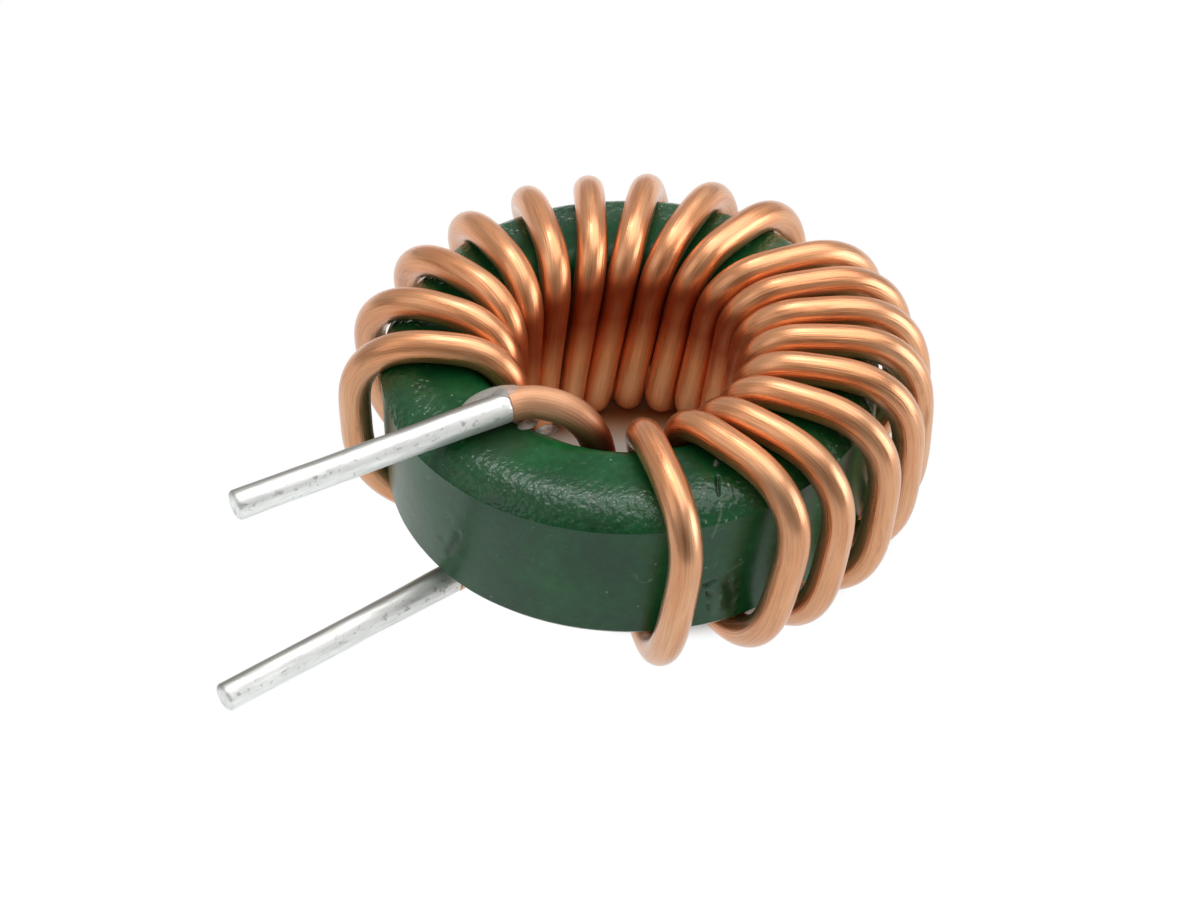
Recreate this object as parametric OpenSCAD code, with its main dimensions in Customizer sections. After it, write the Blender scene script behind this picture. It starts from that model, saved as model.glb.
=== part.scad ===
/* [Core] */
// Outer diameter over the coating
core_od = 21; // [19:0.5:24]
// Diameter of the hole over the coating
core_id = 11.7; // [11.7:0.1:13]
// Height over the coating
core_h = 6.9; // [5.7:0.2:10.1]
// How far the rounding of the outer edges reaches in over the flat faces
edge_in = 1.6; // [1:0.1:2]
// How far the rounding of the outer edges reaches down the side
edge_down = 0.8; // [0.6:0.05:1]
// Radius of the hole's edges
hole_edge_r = 1.2; // [1.2:0.1:1.5]

/* [Wire] */
// Diameter over the enamel
wire_d = 1.38; // [1.2:0.02:1.4]
// Clearance between neighbouring passes through the hole
lay_gap = 0.03; // [0.02:0.01:0.05]
// Free space between the passes and the hole's wall
pass_gap = 0.06; // [0.06:0.01:0.1]
// Free space between the core and the lowest runs over it
top_gap = 0.07; // [0.07:0.01:0.2]
// Free space between the core's side and the runs down it
rim_slack = 0.75; // [0.75:0.05:1.2]
// Free space between the core and the runs under it
sag = 0.4; // [0.1:0.05:0.6]
// Bend radius over the core's outer top edge, at the middle of the wire
top_bend_r = 2.9; // [2.4:0.1:2.9]
// Bend radius under the core's outer bottom edge
low_bend_r = 3.1; // [2.5:0.1:3.2]
// Bend radius over the hole's top edge
lip_bend_r = 2; // [1.4:0.1:2]
// Bend radius under the hole's bottom edge
foot_bend_r = 1.2; // [1:0.1:1.6]

/* [Leads] */
// Sideways distance between the upper lead and its pass through the hole
upper_shift = 1.72; // [1.65:0.01:1.9]
// Distance along the upper lead between its tin and that pass
upper_run = 2.8; // [2.75:0.01:3.3]
// How much of it runs straight on from the tin, before the wire bends towards the pass
knee_run = 0.7; // [0.5:0.05:0.7]
// Radius of that bend
knee_r = 1.2; // [0.8:0.1:1.2]
// Bend radius of the wire from the upper lead down into the hole
arch_r = 2.2; // [1.6:0.1:2.2]
// Direction of the lower lead, measured like the turns' angles
lower_angle = 188.5; // [187:0.5:190]
// How far the upper lead reaches past the core's side
upper_reach = 8.1; // [5:0.1:20]
// How far the lower lead reaches past the core's side
lower_reach = 10.3; // [5:0.1:20]
// How far inside the core's side the tin of the lower lead starts
lower_tin_back = 1.1; // [0.2:0.1:2]
// Diameter of the tinned ends where they start
tin_d = 1.34; // [1.2:0.02:1.36]
// Diameter of the tinned ends from the end of their taper to the tip
lead_d = 1.24; // [1:0.02:1.3]
// Length of their taper
taper_l = 4; // [2:0.5:4.5]

/* [Resin] */
// Length of the bead of resin beside the upper lead
bead_l = 2.6; // [2:0.1:3]
// Diameter of the bead
bead_d = 1.3; // [1:0.1:1.4]
// How far its middle lies ahead of the end of the wire's enamel
bead_ahead = 0.2; // [0:0.1:0.5]

/* [Hidden] */
$fn = 96;
wire_sides = 10;
outer_bend_steps = 5;
inner_bend_steps = 4;
knee_steps = 4;
arch_steps = 6;
straight_rings = 2;
chamfer = 0.1;
more = 1;

// Angles are in degrees and seen from above. The wire is laid anticlockwise from the upper lead.
// Where the runs down the rim stand at their top: the first one, then the step to each next one
rim_start = 252.3;
rim_steps = [23, 11, 15.5, 13.5, 12.5, 10.5, 11.5, 11, 23, 16, 16, 14, 15, 17, 17.5, 18, 16.5];
// How far each run leans forward from its bottom to its top
rim_leans = [5.5, 7, 6, 6, 5.5, 8, 9, 6.5, 2, 3, 2.5, 3.5, 3, 7.5, 7.5, 8, 5, 0];
// How much further out each run stands than rim_slack puts it
rim_shifts = [-0.05, 0.05, 0.1, 0.15, 0.2, 0.3, 0.35, 0.3, 0.25, 0.1, 0.05, 0, 0,
              -0.05, -0.25, -0.3, -0.3, -0.25];
// How much higher each run over the core lies than the lowest ones
top_rises = [0, 0, 0, 0, 0, 0, 0, 0, 0, 0, 0, 0, 0, 0.1, 0.15, 0.2, 0.2, 0.05];
// Where the first pass through the hole stands at its top, and the free angle between each pass
// and the next one
pass_start = 222;
pass_free = [5.2, 1.2, 0, 0, 0, 0, 0, 0, 0, 0, 0, 0, 0, 2.5, 2.9, 2.4, 1.5, 0.5];
// How far the foot of a pass lies ahead of its top
pass_lean = 17;

turns = len(rim_leans);
wire_r = wire_d / 2;
core_r = core_od / 2;
hole_r = core_id / 2;
core_z = wire_d + sag;
core_top = core_z + core_h;
top_z = core_top + top_gap + wire_r;
low_z = wire_r;
pass_r = hole_r - pass_gap - wire_r;

// The step at which two leaning passes touch, and where each pass stands at its top
pass_tilt = atan(pass_lean * PI / 180 * pass_r / (top_z - low_z));
pass_step = 2 * asin((wire_d + lay_gap) / cos(pass_tilt) / (2 * pass_r));
pass_tops = running(pass_start, [for (free = pass_free) pass_step + free]);
rim_tops = running(rim_start, rim_steps);

upper_corner = on_pass(0, top_z);
upper_tin = upper_corner + [-upper_run, upper_shift, 0];
upper_knee = upper_tin + [knee_run, 0, 0];
lower_tin = concat(polar(core_r - lower_tin_back, lower_angle), low_z);

function mix(a, b, share) = a + (b - a) * share;
function eased(share) = share * share * (3 - 2 * share);
function unit(v) = v / norm(v);
function polar(r, angle) = r * [cos(angle), sin(angle)];
function running(first, steps) =
    [for (i = 0, total = first; i <= len(steps); total = total + (i < len(steps) ? steps[i] : 0), i = i + 1)
        total];

// Points along an arc, and points strictly between two others
function arc(centre, r, from, to, steps) =
    [for (i = [0:steps]) centre + polar(r, mix(from, to, i / steps))];
function between(a, b, count) = [for (i = [1:count]) mix(a, b, i / (count + 1))];

// Half a turn in the section plane, as [radius, height]: outward from the hole's wall under the
// core to the rim, and inward from the rim over the core to the hole's wall
function outward(rim_r) =
    let (foot = [pass_r + foot_bend_r, low_z + foot_bend_r],
         toe = [rim_r - low_bend_r, low_z + low_bend_r])
    concat(arc(foot, foot_bend_r, 180, 270, inner_bend_steps),
           between([foot.x, low_z], [toe.x, low_z], straight_rings),
           arc(toe, low_bend_r, 270, 360, outer_bend_steps));
function inward(rim_r, crest_z) =
    let (brow = [rim_r - top_bend_r, crest_z - top_bend_r],
         lip = [pass_r + lip_bend_r, crest_z - lip_bend_r])
    concat(arc(brow, top_bend_r, 0, 90, outer_bend_steps),
           between([brow.x, crest_z], [lip.x, crest_z], straight_rings),
           arc(lip, lip_bend_r, 90, 180, inner_bend_steps));

// The angles of a pass and of a run down the rim at a height
function pass_angle(i, z) =
    let (lean = i < turns ? pass_lean : lower_angle + 360 - pass_tops[turns])
    pass_tops[i] + lean * (top_z - z) / (top_z - low_z);
function rim_angle(i, z) = rim_tops[i] - rim_leans[i] * (1 - eased((z - low_z) / (top_z - low_z)));
function on_pass(i, z) = concat(polar(pass_r, pass_angle(i, z)), z);

// Seen from above, each half turn runs straight between its pass and its run down the rim
function laid(section, pass, run, rim_r) =
    [for (p = section)
        let (share = (p.x - pass_r) / (rim_r - pass_r))
        concat(mix(polar(pass_r, pass_angle(pass, p.y)), polar(rim_r, rim_angle(run, p.y)), share), p.y)];
function turn(i) =
    let (rim_r = core_r + wire_r + rim_slack + rim_shifts[i])
    concat(laid(outward(rim_r), i, i, rim_r),
           laid(inward(rim_r, top_z + top_rises[i]), i + 1, i, rim_r));
function pass_middle(i) =
    [for (z = between([top_z - lip_bend_r], [low_z + foot_bend_r], straight_rings))
        on_pass(i, z.x)];

// An arc that rounds the corner at b on the way from a to c
function rounded(a, b, c, r, steps) =
    let (back = unit(a - b), on = unit(c - b),
         half = acos(back * on) / 2,
         start = b + back * r / tan(half),
         centre = b + unit(back + on) * r / sin(half))
    [for (i = [0:steps])
        let (swept = (180 - 2 * half) * i / steps)
        centre + cos(swept) * (start - centre) - sin(swept) * r * back];

// The whole wire between the tin of one lead and the tin of the other
first_pass = pass_middle(0);
last_pass = pass_middle(turns);
wire_path = concat(
    [upper_tin],
    rounded(upper_tin, upper_knee, upper_corner, knee_r, knee_steps),
    rounded(upper_knee, upper_corner, first_pass[1], arch_r, arch_steps),
    [first_pass[1]],
    [for (i = [0:turns - 1]) each concat(turn(i), pass_middle(i + 1))],
    rounded(last_pass[1], on_pass(turns, low_z), lower_tin, foot_bend_r, inner_bend_steps),
    [lower_tin]);

// A closed tube of flat facets along a path, with its rings turned as little as they can be
function headings(path) =
    let (last = len(path) - 1)
    [for (i = [0:last]) unit(path[min(i + 1, last)] - path[max(i - 1, 0)])];
function square_to(v, heading) = unit(v - v * heading * heading);
function sides_of(headings) =
    [for (i = 0, side = square_to([0, 0, 1], headings[0]); i < len(headings);
          i = i + 1, side = square_to(side, headings[min(i, len(headings) - 1)]))
        side];
module tube(path, r, sides) {
    ahead = headings(path);
    side = sides_of(ahead);
    last = len(path) - 1;
    points = [for (i = [0:last], k = [0:sides - 1])
        let (a = 360 * k / sides)
        path[i] + r * (cos(a) * side[i] + sin(a) * cross(ahead[i], side[i]))];
    skin = [for (i = [0:last - 1], k = [0:sides - 1])
        let (a = i * sides + k, b = i * sides + (k + 1) % sides)
        each [[a, a + sides, b], [b, a + sides, b + sides]]];
    start = [for (k = [0:sides - 1]) k];
    end = [for (k = [sides - 1:-1:0]) last * sides + k];
    polyhedron(points, concat(skin, [start, end]));
}

// The core's section, with rounded hole edges and outer edges that end in a crease at the side
module outer_corner() {
    edge_r = (edge_in * edge_in + edge_down * edge_down) / (2 * edge_down);
    difference() {
        translate([core_r - edge_in, core_h / 2 - edge_down])
            square([edge_in + more, edge_down + more]);
        translate([core_r - edge_in, core_h / 2 - edge_r])
            circle(edge_r);
    }
}
module hole_corner() {
    difference() {
        translate([hole_r - more, core_h / 2 - hole_edge_r])
            square(hole_edge_r + more);
        translate([hole_r + hole_edge_r, core_h / 2 - hole_edge_r])
            circle(hole_edge_r);
    }
}
module core() {
    color("#2c5a3c")
        translate([0, 0, core_z + core_h / 2])
            rotate_extrude()
                difference() {
                    translate([hole_r, -core_h / 2])
                        square([core_r - hole_r, core_h]);
                    for (up = [0, 1])
                        mirror([0, up]) {
                            outer_corner();
                            hole_corner();
                        }
                }
}

module winding() {
    color("#c98a60")
        tube(wire_path, wire_r, wire_sides);
}

// A tinned end that starts at a point and lies along an angle
module tinned_end(from, angle, length) {
    color("#c9ccca")
        translate(from)
            rotate([0, 90, angle])
                rotate_extrude()
                    polygon([[0, 0], [tin_d / 2, 0], [lead_d / 2, taper_l],
                             [lead_d / 2, length - chamfer], [lead_d / 2 - chamfer, length],
                             [0, length]]);
}
module upper_tinned_end() {
    tinned_end(upper_tin, 180, upper_tin.x + core_r + upper_reach);
}
module lower_tinned_end() {
    tinned_end(lower_tin, lower_angle, lower_tin_back + lower_reach);
}

// A drop of resin in the corner between the upper lead and the core
module resin_bead() {
    bead_r = bead_d / 2;
    color("#8f8a78")
        difference() {
            translate(upper_tin + [-bead_ahead - bead_l / 2, bead_r, -bead_r / 2])
                rotate([0, 90, 0]) {
                    translate([0, 0, bead_r])
                        sphere(bead_r);
                    translate([0, 0, bead_r])
                        cylinder(h = bead_l - bead_d, r = bead_r);
                    translate([0, 0, bead_l - bead_r])
                        sphere(bead_r);
                }
            core();
            upper_tinned_end();
            translate(upper_tin)
                rotate([0, 90, 0])
                    cylinder(h = bead_l, r = wire_r);
        }
}

core();
winding();
upper_tinned_end();
lower_tinned_end();
resin_bead();
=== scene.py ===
import math

import bmesh
import bpy
import numpy as np
from mathutils import Matrix, Vector, noise


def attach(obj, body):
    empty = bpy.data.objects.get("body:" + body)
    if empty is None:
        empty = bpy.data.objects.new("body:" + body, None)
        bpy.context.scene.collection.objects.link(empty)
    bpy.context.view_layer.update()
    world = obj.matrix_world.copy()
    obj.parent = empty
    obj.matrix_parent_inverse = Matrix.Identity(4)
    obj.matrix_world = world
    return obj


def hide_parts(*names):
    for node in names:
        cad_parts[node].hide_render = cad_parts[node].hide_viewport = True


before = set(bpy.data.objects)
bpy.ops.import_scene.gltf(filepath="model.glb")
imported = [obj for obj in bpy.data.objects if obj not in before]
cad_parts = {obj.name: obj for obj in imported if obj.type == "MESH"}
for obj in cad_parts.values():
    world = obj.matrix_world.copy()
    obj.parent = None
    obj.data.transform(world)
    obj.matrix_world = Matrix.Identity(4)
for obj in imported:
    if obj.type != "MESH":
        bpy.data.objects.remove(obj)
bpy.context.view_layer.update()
print("frame loaded")

mm = 0.001
scene = bpy.context.scene


def hexToLinear(code):
    channels = [int(code[i:i + 2], 16) / 255 for i in (1, 3, 5)]
    return [c / 12.92 if c <= 0.04045 else ((c + 0.055) / 1.055) ** 2.4 for c in channels] + [1]


def inUse(sockets, name=None):
    return next(s for s in sockets if s.enabled and name in (None, s.name))


def addNode(tree, kind, inputs=None, stops=None, **settings):
    # inputs holds values, hex colours, sockets or whole nodes (for the output in use) by socket;
    # stops holds a ramp's places and colours
    node = tree.nodes.new(kind)
    for name, value in settings.items():
        setattr(node, name, value)
    for name, value in (inputs or {}).items():
        socket = node.inputs[name] if isinstance(name, int) else inUse(node.inputs, name)
        if isinstance(value, bpy.types.Node):
            value = inUse(value.outputs)
        if isinstance(value, bpy.types.NodeSocket):
            tree.links.new(value, socket)
        else:
            socket.default_value = hexToLinear(value) if str(value).startswith("#") else value
    for index, (place, colour) in enumerate(stops or []):
        elements = node.color_ramp.elements
        element = elements[index] if index < len(elements) else elements.new(place)
        element.position = place
        element.color = hexToLinear(colour) if isinstance(colour, str) else [colour] * 3 + [1]
    return node


def placeInMm(tree):
    place = addNode(tree, "ShaderNodeTexCoord").outputs["Object"]
    return addNode(tree, "ShaderNodeVectorMath", {0: place, 1: (1000, 1000, 1000)},
                   operation="MULTIPLY")


def fromAxis(tree, place):
    flat = addNode(tree, "ShaderNodeVectorMath", {0: place, 1: (1, 1, 0)}, operation="MULTIPLY")
    return addNode(tree, "ShaderNodeVectorMath", {0: flat}, operation="LENGTH")


def newMaterial(name):
    material = bpy.data.materials.new(name)
    material.use_nodes = True
    material.node_tree.nodes.clear()
    return material, material.node_tree


def linked(obj):
    scene.collection.objects.link(obj)
    return obj


def faceOutward(obj):
    tidy = bmesh.new()
    tidy.from_mesh(obj.data)
    bmesh.ops.recalc_face_normals(tidy, faces=tidy.faces)
    tidy.to_mesh(obj.data)
    tidy.free()


def meshObject(name, vertices, faces, material, smooth=True):
    mesh = bpy.data.meshes.new(name)
    mesh.from_pydata([tuple(v) for v in vertices], [], faces)
    mesh.materials.append(material)
    mesh.polygons.foreach_set("use_smooth", [smooth] * len(mesh.polygons))
    mesh.validate()
    return linked(bpy.data.objects.new(name, mesh))


def plainMesh(obj):
    # what the modifiers give becomes the object's own mesh
    depsgraph = bpy.context.evaluated_depsgraph_get()
    made = bpy.data.meshes.new_from_object(
        obj.evaluated_get(depsgraph), preserve_all_data_layers=True, depsgraph=depsgraph)
    obj.modifiers.clear()
    obj.data = made
    made.name = obj.name
    return obj


def polar(r, degrees):
    return r * np.array([math.cos(math.radians(degrees)), math.sin(math.radians(degrees))])


def eased(share):
    return share * share * (3 - 2 * share)


coreSizes = {
    "outerRadius": 10.5,
    "holeRadius": 5.85,
    "bottom": 1.78,  # the sagging runs under it and the wire's thickness lift it
    "height": 6.9,
    "edgeIn": 1.6,
    "edgeDown": 0.8,
    # where the press left the edges fuller: (in, down), middle and half width in degrees
    "fullTop": ((0.8, 0.5), 62, 60),
    "fullFoot": ((0.9, 0.55), 272, 110),
    "fullEase": 0.4,  # the share of that half width over which they fade
    "holeEdge": 1.2,
    # points along a rounded edge, a flat face, the hole's edge, its wall and the side
    "edgeSteps": 16,
    "faceSteps": 16,
    "holeSteps": 10,
    "wallSteps": 12,
    "sideSteps": 80,
    "coarseStep": 1.0,  # degrees between columns
    "fineStep": 0.2,  # the same where the coating is damaged
    "fineFrom": 254,
    "fineTo": 270,
    "sag": 0.03,  # depth of the coating's slow waves, and how many lie in a millimetre
    "sagScale": 0.35,
    "peel": 0.004,  # the same for its orange peel
    "peelScale": 2.2,
    "ragged": 0.7,  # how far the marks' edges wander, as a share of their width
    "raggedScale": 3.1,
}
# marks in the coating, with painted shade and light round the chip: their points as (degrees, radius,
# height), width, depth (raised below 0) and shade (dark below 0)
coreMarksAndShade = [
    ([(264.3, 8.75, 8.68), (263.5, 8.95, 8.68), (262.9, 9.2, 8.65), (262.3, 9.55, 8.57)],
     0.06, 0.15, -0.8),
    ([(261.9, 9.95, 8.37), (261.0, 10.3, 8.1), (259.8, 10.5, 7.8), (258.9, 10.5, 7.2)],
     0.05, 0.01, 0.16),
    ([(266.6, 7.9, 8.68), (265.5, 8.1, 8.68)], 0.05, -0.02, 0.7),
    # the chip's top edge: grooves, darkened with painted shade
    ([(257.8, 10.5, 4.55), (258.3, 10.5, 4.6)], 0.1, 0.1, -0.8),
    ([(259.0, 10.5, 4.72), (260.1, 10.5, 4.74)], 0.065, 0.08, -0.6),
    # painted shadow on the side right of the chip
    ([(263.2, 10.5, 4.2), (264.3, 10.5, 3.6), (264.0, 10.5, 3.0)], 0.34, 0.05, -0.45),
    # the chip's left edge: grooves, darkened with painted shade
    ([(258.2, 10.5, 4.15), (258.7, 10.5, 3.9)], 0.07, 0.08, -0.7),
    ([(258.4, 10.5, 3.45), (258.7, 10.5, 3.1)], 0.06, 0.06, -0.6),
    # the chip's floor, raised a little and paler: painted light where it faces up
    ([(260.4, 10.5, 4.25), (261.4, 10.5, 3.7), (260.6, 10.5, 3.0)], 0.3, -0.03, 0.1),
    ([(262.5, 10.5, 5.0), (266.5, 10.5, 5.3)], 0.03, 0, 0.18),
    ([(199.2, 10.5, 5.3), (198.0, 10.5, 4.6), (196.9, 10.5, 4.2), (195.6, 10.5, 3.7)],
     0.17, 0.03, -0.55),
    ([(200.6, 10.5, 4.7), (200.0, 10.5, 4.2)], 0.15, 0.02, -0.4),
    ([(194.4, 10.5, 4.6), (193.2, 10.5, 4.3)], 0.13, 0.02, -0.4),
    ([(166.3, 9.2, 8.68), (168.2, 9.1, 8.68)], 0.13, 0.02, -0.5),
]


def epoxyPowderCoat():
    # Epoxy powder coat on a pressed ring: glossy and deep green, with an orange peel that
    # breaks its highlights into sparkles, and a few pale scuffs and specks of dust.
    material, tree = newMaterial("epoxy powder coat")
    inMm = placeInMm(tree)
    # the powder clouds over about 3 mm and mottles over about 0.4 mm
    clouds = addNode(tree, "ShaderNodeTexNoise",
                     {"Vector": inMm, "Scale": 0.3, "Detail": 4, "Roughness": 0.55})
    even = addNode(tree, "ShaderNodeValToRGB", {"Fac": clouds},
                   [(0.3, "#0d4523"), (0.52, "#13542a"), (0.72, "#1a6134")])
    mottle = addNode(tree, "ShaderNodeTexNoise",
                     {"Vector": inMm, "Scale": 2.4, "Detail": 4, "Roughness": 0.65})
    mottleShade = addNode(tree, "ShaderNodeValToRGB", {"Fac": mottle}, [(0.3, 0.5), (0.7, 1.0)])
    colour = addNode(tree, "ShaderNodeMix", {"Factor": 0.6, "A": even, "B": mottleShade},
                     data_type="RGBA", blend_type="MULTIPLY")
    # scuffs are about 0.5 mm long, dust specks about 0.1 mm across and 0.9 mm apart
    scuffNoise = addNode(tree, "ShaderNodeTexNoise",
                         {"Vector": inMm, "Scale": 1.9, "Detail": 4, "Roughness": 0.62,
                          "Distortion": 1.2})
    scuffs = addNode(tree, "ShaderNodeValToRGB", {"Fac": scuffNoise}, [(0.64, 0.0), (0.76, 0.5)])
    specks = addNode(tree, "ShaderNodeTexVoronoi", {"Vector": inMm, "Scale": 1.1})
    speckShare = addNode(tree, "ShaderNodeValToRGB", {"Fac": specks}, [(0.03, 0.75), (0.06, 0.0)])
    # dark flux residue on the flat face beside the upper lead, with the upper lead's shadow painted
    # into it
    fromFluxAndShadow = addNode(tree, "ShaderNodeVectorMath", {0: inMm, 1: (-7.2, -2.3, 8.6)},
                       operation="DISTANCE")
    fluxAndShadowEdge = addNode(tree, "ShaderNodeMath", {0: fromFluxAndShadow, 1: scuffNoise}, operation="ADD")
    fluxAndShadow = addNode(tree, "ShaderNodeMapRange",
                   {"Value": fluxAndShadowEdge, "From Min": 2.4, "From Max": 1.2, "To Max": 0.65})
    # cracks, bruises and the painted shade in and beside the chip, marked below 0, show dark;
    # scratches, crumbs and the painted light on the chip's floor, above 0, show pale
    mark = addNode(tree, "ShaderNodeAttribute", attribute_name="mark").outputs["Fac"]
    darkMarksAndShade = addNode(tree, "ShaderNodeMath", {0: mark, 1: -1.0}, operation="MULTIPLY")
    for share, over in [(scuffs, "#6f9474"), (speckShare, "#8fa48c"), (fluxAndShadow, "#273322"),
                        (darkMarksAndShade, "#08170d"), (mark, "#b9c4ae")]:
        colour = addNode(tree, "ShaderNodeMix", {"Factor": share, "A": colour, "B": over},
                         data_type="RGBA")
    # the side was pressed smooth by the mould, the faces and edges were not
    normal = addNode(tree, "ShaderNodeNewGeometry").outputs["Normal"]
    rise = addNode(tree, "ShaderNodeSeparateXYZ", {0: normal}).outputs["Z"]
    upness = addNode(tree, "ShaderNodeMath", {0: rise}, operation="ABSOLUTE")
    off = fromAxis(tree, inMm)
    shoulder = addNode(tree, "ShaderNodeMapRange",
                       {"Value": off, "From Min": 8.2, "From Max": 9.1, "To Min": 0.22})
    sloped = addNode(tree, "ShaderNodeMapRange",
                     {"Value": upness, "From Min": 0.1, "From Max": 0.6, "To Min": 0.1})
    rough = addNode(tree, "ShaderNodeMath", {0: shoulder, 1: sloped}, operation="MULTIPLY")
    patchy = addNode(tree, "ShaderNodeMapRange",
                     {"Value": mottle, "From Min": 0.36, "From Max": 0.6, "To Min": 0.4})
    strength = addNode(tree, "ShaderNodeMath", {0: rough, 1: patchy}, operation="MULTIPLY")
    # the peel's dimples are about 0.25 mm across, and deepest where the powder mottles
    peel = addNode(tree, "ShaderNodeTexNoise",
                   {"Vector": inMm, "Scale": 3.8, "Detail": 1, "Roughness": 0.5})
    bump = addNode(tree, "ShaderNodeBump", {"Height": peel, "Strength": strength, "Distance": 0.00012})
    gloss = addNode(tree, "ShaderNodeMapRange",
                    {"Value": clouds, "From Min": 0.3, "From Max": 0.7, "To Min": 0.28, "To Max": 0.36})
    mirroring = addNode(tree, "ShaderNodeMapRange", {"Value": sloped, "To Min": 0.38, "To Max": 0.12})
    shader = addNode(tree, "ShaderNodeBsdfPrincipled",
                     {"Base Color": colour, "Roughness": gloss, "IOR": 1.5,
                      "Specular IOR Level": mirroring, "Coat Weight": rough, "Coat Roughness": 0.12,
                      "Coat IOR": 1.4, "Coat Normal": bump})
    addNode(tree, "ShaderNodeOutputMaterial", {"Surface": shader})
    return material


def wallPoints(r, a, b, steps):
    return [(r, a + (b - a) * i / steps) for i in range(1, steps)]


def coreSection(sizes, topEdge, footEdge):
    # (radius, height) round the ring's section, and the indices of its two creases
    top = sizes["bottom"] + sizes["height"]
    flatTo = sizes["holeRadius"] + sizes["holeEdge"]
    halves = []
    for edgeIn, edgeDown in (topEdge, footEdge):
        edgeRadius = (edgeIn ** 2 + edgeDown ** 2) / (2 * edgeDown)
        sweep = math.asin(edgeIn / edgeRadius)
        flatFrom = sizes["outerRadius"] - edgeIn
        half = []
        for i in range(sizes["edgeSteps"]):
            a = sweep * (1 - i / sizes["edgeSteps"])
            half.append((flatFrom + edgeRadius * math.sin(a),
                         top - edgeRadius + edgeRadius * math.cos(a)))
        for i in range(sizes["faceSteps"]):
            half.append((flatFrom + (flatTo - flatFrom) * i / sizes["faceSteps"], top))
        for i in range(sizes["holeSteps"] + 1):
            a = math.pi / 2 * i / sizes["holeSteps"]
            half.append((flatTo - sizes["holeEdge"] * math.sin(a),
                         top - sizes["holeEdge"] * (1 - math.cos(a))))
        halves.append(half)
    upper = halves[0]
    lower = [(r, top + sizes["bottom"] - z) for r, z in reversed(halves[1])]
    wall = wallPoints(sizes["holeRadius"], upper[-1][1], lower[0][1], sizes["wallSteps"])
    side = wallPoints(sizes["outerRadius"], lower[-1][1], upper[0][1], sizes["sideSteps"])
    return np.array(upper + wall + lower + side), (0, len(upper) + len(wall) + len(lower) - 1)


def fullness(degrees, middle, halfWidth, ease):
    away = abs((degrees - middle + 180) % 360 - 180) / halfWidth
    return eased(min(max((1 - away) / ease, 0), 1))


def sectionAt(sizes, degrees):
    plain = (sizes["edgeIn"], sizes["edgeDown"])
    edges = []
    for full, middle, halfWidth in (sizes["fullTop"], sizes["fullFoot"]):
        share = fullness(degrees, middle, halfWidth, sizes["fullEase"])
        edges.append([a + (b - a) * share for a, b in zip(plain, full)])
    return coreSection(sizes, *edges)


def markAt(points, sizes):
    # depth and shade that the marks give at the points
    depth, shade = np.zeros(len(points)), np.zeros(len(points))
    wander = np.array([noise.noise(Vector(p) * sizes["raggedScale"]) for p in points])
    for places, width, deep, dark in coreMarksAndShade:
        line = np.array([np.append(polar(r, degrees), z) for degrees, r, z in places])
        near = np.full(len(points), np.inf)
        for a, b in zip(line[:-1], line[1:]):
            share = np.clip((points - a) @ (b - a) / ((b - a) @ (b - a)), 0, 1)
            near = np.minimum(near, np.linalg.norm(points - a - share[:, None] * (b - a), axis=1))
        force = np.exp(-(near / (width * (1 + sizes["ragged"] * wander))) ** 2)
        depth += deep * force
        shade += dark * force
    return depth, shade


def buildCore(sizes, material):
    angles = np.concatenate([np.arange(0, sizes["fineFrom"], sizes["coarseStep"]),
                             np.arange(sizes["fineFrom"], sizes["fineTo"], sizes["fineStep"]),
                             np.arange(sizes["fineTo"], 360, sizes["coarseStep"])])
    points, inwards = [], []
    for degrees in angles:
        section, creases = sectionAt(sizes, degrees)
        # the section runs so that this points into the core
        slopes = np.roll(section, -1, axis=0) - np.roll(section, 1, axis=0)
        slopes /= np.linalg.norm(slopes, axis=1)[:, None]
        for (r, z), (alongR, alongZ) in zip(section, slopes):
            points.append(np.append(polar(r, degrees), z))
            inwards.append(np.append(polar(-alongZ, degrees), alongR))
    points, inwards = np.array(points), np.array(inwards)
    depth, shade = markAt(points, sizes)
    for size in ("sag", "peel"):
        depth += [sizes[size] * noise.noise(Vector(p) * sizes[size + "Scale"]) for p in points]
    depth += sizes["sag"] / 2
    vertices = (points + inwards * depth[:, None]) * mm
    rows, columns = len(section), len(angles)
    faces = [(k * rows + j, k * rows + (j + 1) % rows,
              (k + 1) % columns * rows + (j + 1) % rows, (k + 1) % columns * rows + j)
             for k in range(columns) for j in range(rows)]
    core = meshObject("coatedCore", vertices, faces, material)
    faceOutward(core)
    core.data.attributes.new("mark", "FLOAT", "POINT").data.foreach_set("value", shade)
    for edge in core.data.edges:
        a, b = (v % rows for v in edge.vertices)
        if a == b and a in creases:
            edge.use_edge_sharp = True
    return core


core = buildCore(coreSizes, epoxyPowderCoat())
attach(core, "root")
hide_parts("core")
print("core made")

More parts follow.
